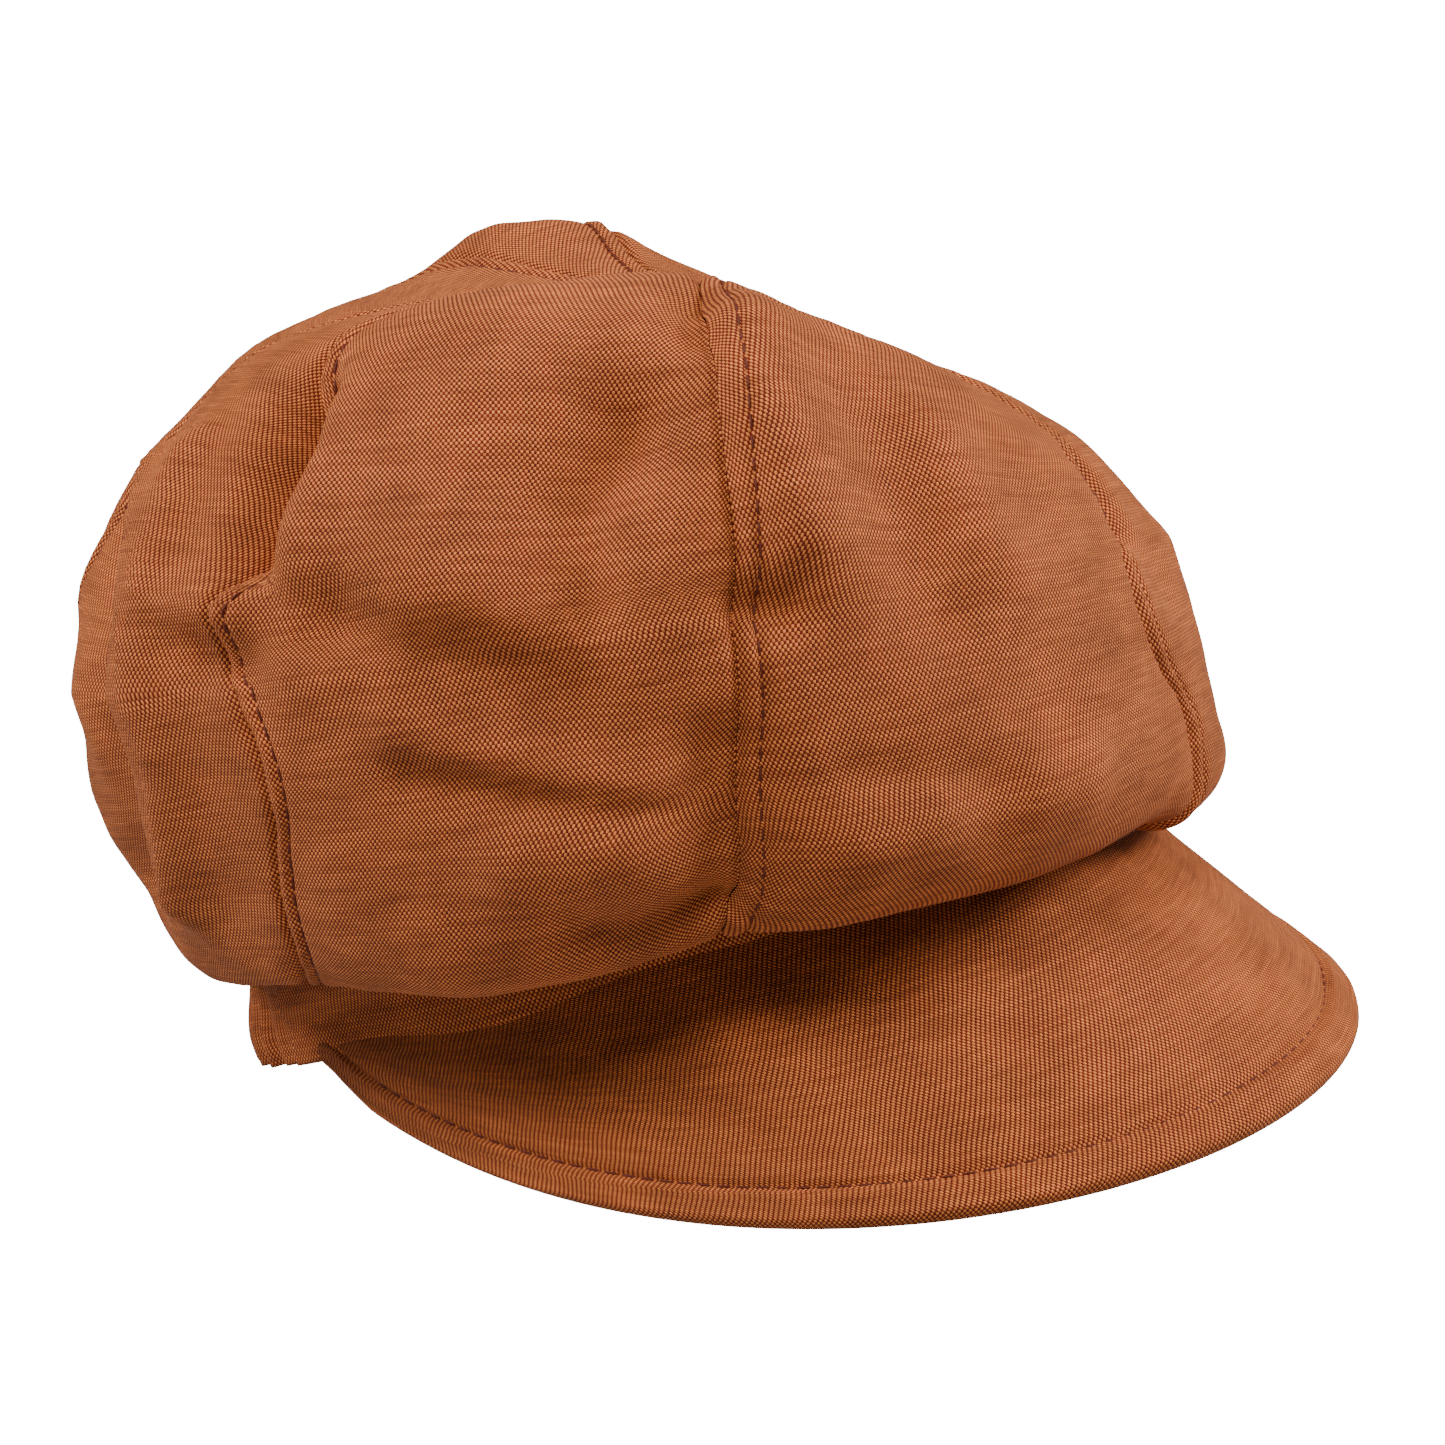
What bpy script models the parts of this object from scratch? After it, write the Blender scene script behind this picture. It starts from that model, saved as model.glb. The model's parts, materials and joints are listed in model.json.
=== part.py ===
"""Newsboy cap: an eight-panel soft crown on a head band, with a stiffened, stitched brim.

The cap is built in its own frame: the band's lower rim lies in the plane z = 0, the middle of the
head opening is the origin, the brim points to -Y and the wearer's left is +X. An empty then tips
the whole cap back until it stands on the brim's edge and on the back of the band. Lengths are in
metres. Azimuths are measured round the head from the centre front, positive towards +X.
"""
import math

import bmesh
import bpy
from mathutils import Vector

# Head band
BAND_HALF_WIDTH = 0.083
BAND_FRONT_LENGTH = 0.101           # from the middle of the head to the band's centre front
BAND_BACK_LENGTH = 0.078            # the elastic draws the back of the band in
BAND_HEIGHT = 0.030
BAND_CLOTH = 0.0010
BAND_SPLIT = math.radians(104)      # side seams between the front and the back of the band
ELASTIC_WIDTH = 0.020
ELASTIC_THICKNESS = 0.0010
ELASTIC_END = math.radians(112)     # azimuth of the elastic's ends
SWEATBAND_HEIGHT = 0.027
SWEATBAND_THICKNESS = 0.0007
SWEATBAND_LIFT = 0.0015             # the sweatband's lower edge above the band's rim

# Crown
PANEL_COUNT = 8
CROWN_SIDE_OVERHANG = 0.025         # from the band out to the crown's widest line, at the sides
CROWN_FRONT_OVERHANG = 0.038
CROWN_BACK_OVERHANG = 0.011
CROWN_HALF_WIDTH = BAND_HALF_WIDTH + CROWN_SIDE_OVERHANG
CROWN_FRONT = BAND_FRONT_LENGTH + CROWN_FRONT_OVERHANG
CROWN_BACK = BAND_BACK_LENGTH + CROWN_BACK_OVERHANG
CROWN_HALF_LENGTH = (CROWN_FRONT + CROWN_BACK) / 2
CROWN_FORWARD = (CROWN_FRONT - CROWN_BACK) / 2
CROWN_CLOTH = 0.0010
DIMPLE_HEIGHT = 0.114             # where the eight panels meet
DIMPLE_FORWARD = 0.070
DIMPLE_RADIUS = 0.0030
DOME_POWER = 1.50                 # below 2 the cloth falls straighter from the dimple to the side
PUFF_HEIGHT = 0.020               # spare cloth standing up between the dimple and the side
PUFF_TO_BACK = 0.014              # how much more of it stands at the back than at the sides
SIDE_HEIGHT = 0.056               # height of the widest line at the sides
SIDE_TO_FRONT = 0.030             # how much lower it is at the front
SIDE_TO_LEFT = 0.022              # how much lower it is on the wearer's left
HEM_HEIGHT = 0.009                # lowest line of the overhanging cloth
HEM_TO_FRONT = 0.012
HEM_TO_LEFT = 0.007
SEAM_OUTSIDE = 0.0018               # from the band's face to the crown's sewn edge, outside it

# Lining
LINING_CLOTH = 0.0007
LINING_SLACK = 0.007                # how far inside the crown the lining hangs
LINING_DOME_TURN = math.radians(66)  # where the lining leaves the crown's shape for the band
LINING_EDGE_LIFT = 0.0035           # the lining's sewn edge above the band

# Brim
BRIM_DEPTH = 0.073                  # width at the centre front
BRIM_END = math.radians(98)         # azimuth of the brim's two ends
BRIM_DROOP = math.radians(53)       # slope at the centre front, below the band's rim
BRIM_APEX_BACK = 0.070              # tip of the cone that the brim is bent to, behind the head's middle
BRIM_FULLNESS = 2.03                # above 2 the brim stays wide further round the head
BRIM_TAPER = 0.97
BRIM_COVER = 0.0008
BRIM_BOARD = 0.0016
BRIM_END_STOP = 0.97                # share of the way to the tips where the covers end
BOARD_INSET = 0.0035                # the board stops short of the covers' outer edge

# Sewing
GAP = 0.0003                        # between two pieces of cloth that are sewn together
PANEL_GAP = 0.0008                  # between the edges of two panels, whose inner faces lean together
LAYER_GAP = 0.0004                  # between the layers of the brim
THREAD_RADIUS = 0.00025
THREAD_LIFT = 0.0009                # the thread's middle above the cloth
CROWN_STITCH_OFFSET = 0.0038        # beside each crown seam
CROWN_STITCH_START = 0.012          # distance from the dimple where the topstitching starts
CROWN_STITCH_STOP = math.radians(1.2)  # turn left unstitched above the widest line
BRIM_STITCH_OFFSET = 0.0085         # in from the brim's edge
BRIM_STITCH_END = 0.90

# Fineness of the meshes
PANEL_COLUMNS = 6
DOME_ROWS = 14
HEM_ROWS = 10
HEM_CROWDING = 1.3                  # above 1 the rows crowd towards the widest line
LINING_COLUMNS = 4
LINING_DOME_ROWS = 8
LINING_SKIRT_ROWS = 2
BAND_COLUMNS = 28
BRIM_COLUMNS = 44
BRIM_ROWS = 5
SLOPE_STEP = 0.01                   # step along a surface to measure its slope

PANEL_NAMES = ("front_right", "right_front", "right_back", "back_right",
               "back_left", "left_back", "left_front", "front_left")

LINEN = ("linen", (0.40, 0.14, 0.055), 0.90)
LINING = ("lining_cotton", (0.52, 0.36, 0.24), 0.85)
RIBBON = ("sweatband_ribbon", (0.17, 0.06, 0.03), 0.80)
BOARD = ("brim_board", (0.78, 0.76, 0.70), 0.60)
ELASTIC = ("elastic", (0.75, 0.73, 0.68), 0.80)
THREAD = ("thread", (0.30, 0.05, 0.03), 0.70)


def clear_scene():
    for obj in list(bpy.data.objects):
        bpy.data.objects.remove(obj, do_unlink=True)


def make_material(finish):
    name, colour, roughness = finish
    material = bpy.data.materials.new(name)
    material.use_nodes = True
    shader = material.node_tree.nodes["Principled BSDF"]
    shader.inputs["Base Color"].default_value = (*colour, 1.0)
    shader.inputs["Roughness"].default_value = roughness
    shader.inputs["Metallic"].default_value = 0.0
    return material


def add_part(name, data, finish):
    """One named sub-part, in the cap's collection and carried by its frame."""
    if finish[0] not in materials:
        materials[finish[0]] = make_material(finish)
    data.materials.append(materials[finish[0]])
    part = bpy.data.objects.new(name, data)
    cap_collection.objects.link(part)
    part.parent = cap_frame
    return part


def cloth_shell(name, rows, thickness, finish):
    """A sheet through rows of points, thickened towards its inner side."""
    sheet = bmesh.new()
    grid = [[sheet.verts.new(point) for point in row] for row in rows]
    for upper, lower in zip(grid, grid[1:]):
        for j in range(len(upper) - 1):
            sheet.faces.new((upper[j], lower[j], lower[j + 1], upper[j + 1]))
    mesh = bpy.data.meshes.new(name)
    sheet.to_mesh(mesh)
    sheet.free()
    mesh.shade_smooth()
    part = add_part(name, mesh, finish)
    shell = part.modifiers.new("cloth", 'SOLIDIFY')
    shell.thickness = thickness
    shell.offset = -1.0
    return part


def thread_line(name, points):
    """A line of topstitching as one round thread."""
    curve = bpy.data.curves.new(name, 'CURVE')
    curve.dimensions = '3D'
    curve.bevel_depth = THREAD_RADIUS
    curve.bevel_resolution = 1
    curve.use_fill_caps = True
    spline = curve.splines.new('POLY')
    spline.points.add(len(points) - 1)
    for target, point in zip(spline.points, points):
        target.co = (*point, 1.0)
    return add_part(name, curve, THREAD)


def band_point(azimuth, depth, height):
    """A point on the band, a depth inside its outer face: two half ellipses, the back one shorter."""
    length = BAND_FRONT_LENGTH if math.cos(azimuth) > 0 else BAND_BACK_LENGTH
    return Vector(((BAND_HALF_WIDTH - depth) * math.sin(azimuth),
                   -(length - depth) * math.cos(azimuth), height))


def fractions(count):
    return [step / count for step in range(count + 1)]


def side_height(azimuth):
    return SIDE_HEIGHT - SIDE_TO_FRONT * math.cos(azimuth) - SIDE_TO_LEFT * math.sin(azimuth)


def side_point(azimuth, inset):
    """The crown's widest line."""
    return Vector(((CROWN_HALF_WIDTH - inset) * math.sin(azimuth),
                   -CROWN_FORWARD - (CROWN_HALF_LENGTH - inset) * math.cos(azimuth),
                   side_height(azimuth)))


def dome_point(azimuth, turn, inset=0.0):
    """Turn is 0 at the dimple and a quarter circle at the crown's widest line."""
    out = math.sin(turn) ** DOME_POWER
    drop = math.cos(turn) ** DOME_POWER
    side = side_point(azimuth, inset)
    dimple = Vector((0, -DIMPLE_FORWARD, DIMPLE_HEIGHT - inset))
    centre_y = -CROWN_FORWARD + (dimple.y + CROWN_FORWARD) * math.cos(turn) ** 2
    puff = (PUFF_HEIGHT - PUFF_TO_BACK * math.cos(azimuth)) * math.sin(2 * turn) ** 2
    return Vector((side.x * out,
                   centre_y + (side.y + CROWN_FORWARD) * out,
                   side.z + (dimple.z - side.z) * drop + puff))


def hem_point(azimuth, turn):
    """Turn is 0 at the widest line, a quarter circle at the lowest, a half circle at the band's top."""
    share = 0.5 + 0.5 * math.cos(turn)
    side = side_point(azimuth, 0.0)
    seam = band_point(azimuth, -SEAM_OUTSIDE, BAND_HEIGHT)
    lowest = HEM_HEIGHT - HEM_TO_FRONT * math.cos(azimuth) - HEM_TO_LEFT * math.sin(azimuth)
    drop = (side.z if turn < math.pi / 2 else seam.z) - lowest
    fold_radius = min(0.5 * (side - seam).xy.length, drop)
    lift = 1 - math.sin(turn)
    point = seam.lerp(side, share)
    point.z = lowest + fold_radius * lift + (drop - fold_radius) * lift ** 2
    return point


def lining_skirt_point(azimuth, share):
    """The lining goes straight from its dome, share 0, to the edge sewn to the band, share 1."""
    dome = dome_point(azimuth, LINING_DOME_TURN, LINING_SLACK)
    return dome.lerp(band_point(azimuth, 0.0, BAND_HEIGHT + LINING_EDGE_LIFT), share)


def start_turn():
    """The turn at which the panels' tips begin, the dimple's radius away from its middle."""
    return math.asin((DIMPLE_RADIUS / CROWN_HALF_WIDTH) ** (1 / DOME_POWER))


def panel_rows(start, end, columns, stations):
    """Rows of points between two seams, each row half a gap short of both."""
    rows = []
    for radius, place in stations:
        margin = 0.5 * PANEL_GAP / radius
        rows.append([place(start + margin + (end - start - 2 * margin) * share)
                     for share in fractions(columns)])
    return rows


def crown_stations():
    first = start_turn()
    stations = []
    for share in fractions(DOME_ROWS):
        turn = first + (math.pi / 2 - first) * share
        radius = CROWN_HALF_WIDTH * math.sin(turn) ** DOME_POWER
        stations.append((radius, lambda azimuth, turn=turn: dome_point(azimuth, turn)))
    for share in fractions(HEM_ROWS)[1:]:
        turn = math.pi * share ** HEM_CROWDING
        stations.append((min(BAND_HALF_WIDTH, BAND_BACK_LENGTH),
                         lambda azimuth, turn=turn: hem_point(azimuth, turn)))
    return stations


def lining_stations():
    first = start_turn()
    stations = []
    for share in fractions(LINING_DOME_ROWS):
        turn = first + (LINING_DOME_TURN - first) * share
        radius = CROWN_HALF_WIDTH * math.sin(turn) ** DOME_POWER
        stations.append((radius, lambda azimuth, turn=turn: dome_point(azimuth, turn, LINING_SLACK)))
    for share in fractions(LINING_SKIRT_ROWS)[1:]:
        stations.append((BAND_HALF_WIDTH, lambda azimuth, share=share: lining_skirt_point(azimuth, share)))
    return stations


def seam_azimuth(index):
    """Seams start at the centre front and go round by the wearer's right."""
    return -2 * math.pi * index / PANEL_COUNT


def build_crown_panels():
    stations = crown_stations()
    for index, place in enumerate(PANEL_NAMES):
        rows = panel_rows(seam_azimuth(index + 1), seam_azimuth(index), PANEL_COLUMNS, stations)
        cloth_shell("crown_panel_" + place, rows, CROWN_CLOTH, LINEN)


def build_lining_panels():
    stations = lining_stations()
    for index, place in enumerate(PANEL_NAMES):
        rows = panel_rows(seam_azimuth(index + 1), seam_azimuth(index), LINING_COLUMNS, stations)
        cloth_shell("lining_panel_" + place, rows, LINING_CLOTH, LINING)


def crown_normal(azimuth, turn):
    along = dome_point(azimuth, turn + SLOPE_STEP) - dome_point(azimuth, turn - SLOPE_STEP)
    across = dome_point(azimuth + SLOPE_STEP, turn) - dome_point(azimuth - SLOPE_STEP, turn)
    return along.cross(across).normalized()


def build_crown_stitching():
    """A line of stitches beside each seam, from near the dimple to the crown's widest line."""
    first = math.asin((CROWN_STITCH_START / CROWN_HALF_WIDTH) ** (1 / DOME_POWER))
    last = math.pi / 2 - CROWN_STITCH_STOP
    for index in range(PANEL_COUNT):
        points = []
        for share in fractions(2 * DOME_ROWS):
            turn = first + (last - first) * share
            radius = CROWN_HALF_WIDTH * math.sin(turn) ** DOME_POWER
            azimuth = seam_azimuth(index) + CROWN_STITCH_OFFSET / radius
            normal = crown_normal(azimuth, turn)
            points.append(dome_point(azimuth, turn) + normal * THREAD_LIFT)
        thread_line(f"crown_topstitch_{index + 1}", points)


def wall_rows(start, end, columns, depth, top, bottom):
    return [[band_point(start + (end - start) * share, depth, height) for share in fractions(columns)]
            for height in (top, bottom)]


def build_band():
    margin = 0.5 * GAP / BAND_HALF_WIDTH
    front = wall_rows(-BAND_SPLIT + margin, BAND_SPLIT - margin, BAND_COLUMNS, 0.0, BAND_HEIGHT, 0.0)
    back = wall_rows(BAND_SPLIT + margin, 2 * math.pi - BAND_SPLIT - margin, BAND_COLUMNS,
                     0.0, BAND_HEIGHT, 0.0)
    cloth_shell("band_front", front, BAND_CLOTH, LINEN)
    cloth_shell("band_back", back, BAND_CLOTH, LINEN)


def elastic_depth():
    return BAND_CLOTH + GAP


def sweatband_depth():
    return elastic_depth() + ELASTIC_THICKNESS + GAP


def build_back_elastic():
    middle = 0.5 * BAND_HEIGHT
    rows = wall_rows(ELASTIC_END, 2 * math.pi - ELASTIC_END, BAND_COLUMNS, elastic_depth(),
                     middle + 0.5 * ELASTIC_WIDTH, middle - 0.5 * ELASTIC_WIDTH)
    cloth_shell("back_elastic", rows, ELASTIC_THICKNESS, ELASTIC)


def build_sweatband():
    """One ribbon right round the head, its two ends meeting at the centre back."""
    margin = 0.5 * GAP / BAND_BACK_LENGTH
    rows = wall_rows(-math.pi + margin, math.pi - margin, 2 * BAND_COLUMNS, sweatband_depth(),
                     SWEATBAND_LIFT + SWEATBAND_HEIGHT, SWEATBAND_LIFT)
    cloth_shell("sweatband", rows, SWEATBAND_THICKNESS, RIBBON)


def brim_width(share):
    """Width of the brim, share running from -1 at one end to 1 at the other."""
    return BRIM_DEPTH * (1 - abs(share) ** BRIM_FULLNESS) ** BRIM_TAPER


def brim_top(share, out):
    """A point on the brim's upper face, out being 0 at the band and 1 at the free edge."""
    root = band_point(BRIM_END * share, -GAP, 0.0)
    apex_rise = (BAND_FRONT_LENGTH + BRIM_APEX_BACK) * math.tan(BRIM_DROOP)
    ruling = (root - Vector((0, BRIM_APEX_BACK, apex_rise))).normalized()
    return root + ruling * brim_width(share) * out


def brim_normal(share, out):
    along = brim_top(share, out + SLOPE_STEP) - brim_top(share, out - SLOPE_STEP)
    across = brim_top(share + SLOPE_STEP, out) - brim_top(share - SLOPE_STEP, out)
    return along.cross(across).normalized()


def brim_point(share, out, depth):
    """A point a depth under the brim's upper face."""
    return brim_top(share, out) - brim_normal(share, out) * depth


def brim_layer(name, depth, thickness, inset, finish):
    """One layer of the brim, stopping an inset short of the root and of the free edge."""
    rows = []
    for row_share in fractions(BRIM_ROWS):
        row = []
        for column_share in fractions(BRIM_COLUMNS):
            share = (2 * column_share - 1) * BRIM_END_STOP
            margin = inset / (brim_width(share) + 2 * inset)
            row.append(brim_point(share, margin + (1 - 2 * margin) * row_share, depth))
        rows.append(row)
    cloth_shell(name, rows, thickness, finish)


def build_brim():
    board_depth = BRIM_COVER + LAYER_GAP
    under_depth = board_depth + BRIM_BOARD + LAYER_GAP
    brim_layer("brim_upper_cover", 0.0, BRIM_COVER, 0.0, LINEN)
    brim_layer("brim_board", board_depth, BRIM_BOARD, BOARD_INSET, BOARD)
    brim_layer("brim_lower_cover", under_depth, BRIM_COVER, 0.0, LINEN)


def build_brim_stitching():
    points = []
    for column_share in fractions(2 * BRIM_COLUMNS):
        share = (2 * column_share - 1) * BRIM_STITCH_END
        out = 1 - BRIM_STITCH_OFFSET / brim_width(share)
        points.append(brim_point(share, out, -THREAD_LIFT))
    thread_line("brim_topstitch", points)


def evaluated_points(parts):
    """Every vertex of the finished parts, in the frame of the scene."""
    graph = bpy.context.evaluated_depsgraph_get()
    points = []
    for part in parts:
        solid = part.evaluated_get(graph)
        mesh = solid.to_mesh()
        points += [solid.matrix_world @ vertex.co for vertex in mesh.vertices]
        solid.to_mesh_clear()
    return points


def stand_on_floor():
    """Tips the cap back onto the brim's edge and the back of the band, then centres it on the floor."""
    heel = band_point(math.pi, 0.0, 0.0)
    brim = evaluated_points([cap_collection.objects["brim_lower_cover"]])
    tip = max(math.atan2(heel.z - point.z, heel.y - point.y) for point in brim)
    cap_frame.rotation_euler = (-tip, 0, 0)
    bpy.context.view_layer.update()
    points = evaluated_points(cap_collection.objects)
    middle = [0.5 * (min(p[axis] for p in points) + max(p[axis] for p in points)) for axis in (0, 1)]
    cap_frame.location = (-middle[0], -middle[1], -min(point.z for point in points))


clear_scene()
materials = {}
cap_collection = bpy.data.collections.new("newsboy_cap")
bpy.context.scene.collection.children.link(cap_collection)
cap_frame = bpy.data.objects.new("cap_frame", None)
bpy.context.scene.collection.objects.link(cap_frame)

build_crown_panels()
build_crown_stitching()
build_lining_panels()
build_band()
build_back_elastic()
build_sweatband()
build_brim()
build_brim_stitching()
bpy.context.view_layer.update()
stand_on_floor()
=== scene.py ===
"""A newsboy cap of slubbed linen: an eight-panel crown on a gathered band, with a stiff stitched brim."""
import json
import math

import bmesh
import bpy
import numpy as np
from mathutils import Matrix, Vector, noise


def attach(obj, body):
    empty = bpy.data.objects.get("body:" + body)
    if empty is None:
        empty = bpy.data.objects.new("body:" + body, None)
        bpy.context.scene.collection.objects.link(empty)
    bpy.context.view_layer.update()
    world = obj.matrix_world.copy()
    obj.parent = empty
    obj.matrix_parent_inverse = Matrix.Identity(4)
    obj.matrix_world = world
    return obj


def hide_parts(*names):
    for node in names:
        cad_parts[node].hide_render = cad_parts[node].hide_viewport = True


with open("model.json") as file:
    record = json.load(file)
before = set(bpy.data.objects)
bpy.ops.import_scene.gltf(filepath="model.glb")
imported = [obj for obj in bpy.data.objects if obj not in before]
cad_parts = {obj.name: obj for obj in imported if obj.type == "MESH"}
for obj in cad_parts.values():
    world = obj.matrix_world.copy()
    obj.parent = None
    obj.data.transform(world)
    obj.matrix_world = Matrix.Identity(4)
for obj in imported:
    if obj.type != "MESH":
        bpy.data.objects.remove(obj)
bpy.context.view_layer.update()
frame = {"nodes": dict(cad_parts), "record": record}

# ---------------------------------------------------------------------------------------------
# The cap's own frame. The cap is sewn square to its head band, and stands tipped back on the edge
# of its brim. Here the band's lower rim is the plane z = 0, the middle of the head the origin, -Y
# the front and +X the wearer's left. Azimuths run round the head from the centre front.
mounts = {mount["name"]: mount for mount in frame["record"]["mounts"]}
cap_up = -Vector(mounts["head_opening"]["axis"]).normalized()
cap_side = Vector((1, 0, 0))
cap_matrix = Matrix((cap_side, cap_up.cross(cap_side), cap_up)).transposed().to_4x4()
cap_matrix.translation = mounts["head_opening"]["pos_m"]


def direction(azimuth, elevation):
    """Unit vector towards an azimuth and elevation."""
    return Vector((math.sin(azimuth) * math.cos(elevation), -math.cos(azimuth) * math.cos(elevation),
                   math.sin(elevation)))


# ---------------------------------------------------------------------------------------------
# Studio: a camera at the wearer's right front, a pale floor without end, and three soft lamps, one
# from behind on the wearer's right, one from the front left and one from above.
CAMERA_AZIMUTH = math.radians(-46.7)
CAMERA_ELEVATION = math.radians(7.05)
CAMERA_ROLL = math.radians(-19.5)
CAMERA_DISTANCE = 0.830
CAMERA_LENS = 101.6
AIM_RIGHT = 0.0291
AIM_UP = 0.0282

camera_data = bpy.data.cameras.new("camera")
camera_data.lens = CAMERA_LENS
camera_data.sensor_width = 36.0
camera = bpy.data.objects.new("camera", camera_data)
bpy.context.scene.collection.objects.link(camera)
backwards = direction(CAMERA_AZIMUTH, CAMERA_ELEVATION)
rightwards = Vector((math.cos(CAMERA_AZIMUTH), math.sin(CAMERA_AZIMUTH), 0))
upwards = backwards.cross(rightwards)
aim = rightwards * AIM_RIGHT + upwards * AIM_UP
view = Matrix((rightwards, upwards, backwards)).transposed() @ Matrix.Rotation(CAMERA_ROLL, 3, 'Z')
camera.matrix_world = cap_matrix @ (Matrix.Translation(aim + backwards * CAMERA_DISTANCE) @ view.to_4x4())
bpy.context.scene.camera = camera

floor_cut = bmesh.new()
bmesh.ops.create_grid(floor_cut, x_segments=1, y_segments=1, size=30)
floor_data = bpy.data.meshes.new("floor")
floor_cut.to_mesh(floor_data)
floor_cut.free()
floor = bpy.data.objects.new("floor", floor_data)
bpy.context.scene.collection.objects.link(floor)
floor_material = bpy.data.materials.new("floor_paper")
floor_material.use_nodes = True
floor_shader = floor_material.node_tree.nodes["Principled BSDF"]
floor_shader.inputs["Base Color"].default_value = (0.45, 0.45, 0.45, 1)
floor_shader.inputs["Roughness"].default_value = 0.9
floor_shader.inputs["Specular IOR Level"].default_value = 0.0
floor_shader.inputs["Emission Color"].default_value = (1.0, 1.0, 1.0, 1)
sight = floor_material.node_tree.nodes.new('ShaderNodeLightPath')
glow = floor_material.node_tree.nodes.new('ShaderNodeMath')
glow.operation = 'MULTIPLY'
glow.inputs[1].default_value = 16.0
floor_material.node_tree.links.new(sight.outputs["Is Camera Ray"], glow.inputs[0])
floor_material.node_tree.links.new(glow.outputs[0], floor_shader.inputs["Emission Strength"])
floor_data.materials.append(floor_material)

world = bpy.data.worlds.new("studio")
world.use_nodes = True
world.node_tree.nodes["Background"].inputs["Color"].default_value = (1.0, 1.0, 1.0, 1)
world.node_tree.nodes["Background"].inputs["Strength"].default_value = 0.06
bpy.context.scene.world = world


def add_lamp(name, azimuth, elevation, distance, size, power):
    """A square soft lamp shining at the crown from a direction."""
    data = bpy.data.lights.new(name, 'AREA')
    data.shape = 'SQUARE'
    data.size = size
    data.energy = power
    lamp = bpy.data.objects.new(name, data)
    bpy.context.scene.collection.objects.link(lamp)
    target = Vector((0, 0, 0.08))
    towards = direction(math.radians(azimuth), math.radians(elevation))
    lamp.location = target + towards * distance
    lamp.rotation_euler = towards.to_track_quat('Z', 'Y').to_euler()


add_lamp("left_lamp", -140, 40, 1.6, 0.5, 30)
add_lamp("right_lamp", 38, 28, 1.6, 0.6, 39)
add_lamp("top_lamp", -50, 60, 1.6, 0.6, 29)

# ---------------------------------------------------------------------------------------------
# Cloth: every cut is a grid of points laid over a shape and thickened, with its weave measured in
# metres along the cloth. The weave is a procedural plain weave with thick and thin threads.
CLOTH_THICKNESS = 0.0006


def add_piece(name, data, material, replaced=None):
    piece = bpy.data.objects.new(name, data)
    bpy.context.scene.collection.objects.link(piece)
    data.materials.append(material)
    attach(piece, "root")
    if replaced:
        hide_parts(replaced)
    return piece


def laid_cloth(name, points, corner=(0.0, 0.0)):
    """A cut of cloth through a grid of points, [column, row], in the cap's frame. The weave's U runs
    across from the middle column and its V down the middle column."""
    columns, rows = points.shape[0] - 1, points.shape[1] - 1
    cut = bmesh.new()
    bmesh.ops.create_grid(cut, x_segments=columns, y_segments=rows, size=0.5)
    data = bpy.data.meshes.new(name)
    cut.to_mesh(data)
    cut.free()
    flat = np.empty(len(data.vertices) * 3)
    data.vertices.foreach_get("co", flat)
    flat = flat.reshape(-1, 3)
    column = np.rint((flat[:, 0] + 0.5) * columns).astype(int)
    row = np.rint((0.5 - flat[:, 1]) * rows).astype(int)
    turn = np.array(cap_matrix.to_3x3())
    placed = points[column, row] @ turn.T + np.array(cap_matrix.translation)
    data.vertices.foreach_set("co", placed.ravel())

    middle = columns // 2
    down = np.linalg.norm(np.diff(points[middle], axis=0), axis=1)
    along = corner[1] + np.concatenate([[0], np.cumsum(down)])
    steps = np.linalg.norm(np.diff(points, axis=0), axis=2)
    across = np.concatenate([np.zeros((1, rows + 1)), np.cumsum(steps, axis=0)])
    across = corner[0] + across - across[middle]
    weave = np.stack([across, np.broadcast_to(along, across.shape)], -1)[column, row]
    corners = np.empty(len(data.loops), dtype=int)
    data.loops.foreach_get("vertex_index", corners)
    layer = data.uv_layers.new(name="weave")
    layer.data.foreach_set("uv", weave[corners].ravel())
    data.shade_smooth()
    data.update()
    return data


def thicken(piece, thickness):
    shell = piece.modifiers.new("cloth_thickness", 'SOLIDIFY')
    shell.thickness = thickness
    shell.offset = -1.0


def rumple(points, scale, seed):
    """Smooth noise from about -1 to 1 at each point, with lumps of about 1 / scale metres."""
    shift = Vector((seed * 1.7, seed * 0.9, seed * 0.4))
    flat = points.reshape(-1, 3)
    values = [noise.noise(Vector(point) * scale + shift) for point in flat]
    return np.array(values).reshape(points.shape[:-1])


def bell(distance, width):
    return np.exp(-(distance / width) ** 2)


def smooth(value):
    value = np.clip(value, 0.0, 1.0)
    return value * value * (3 - 2 * value)


def add_node(tree, kind, links, **settings):
    """A shader node whose inputs are given values or linked to other sockets."""
    node = tree.nodes.new(kind)
    for name, value in settings.items():
        setattr(node, name, value)
    for key, value in links.items():
        if isinstance(value, bpy.types.NodeSocket):
            tree.links.new(value, node.inputs[key])
        else:
            node.inputs[key].default_value = value
    return node


def maths(tree, operation, *values, clamp=False):
    node = add_node(tree, 'ShaderNodeMath', dict(enumerate(values)), operation=operation, use_clamp=clamp)
    return node.outputs[0]


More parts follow.
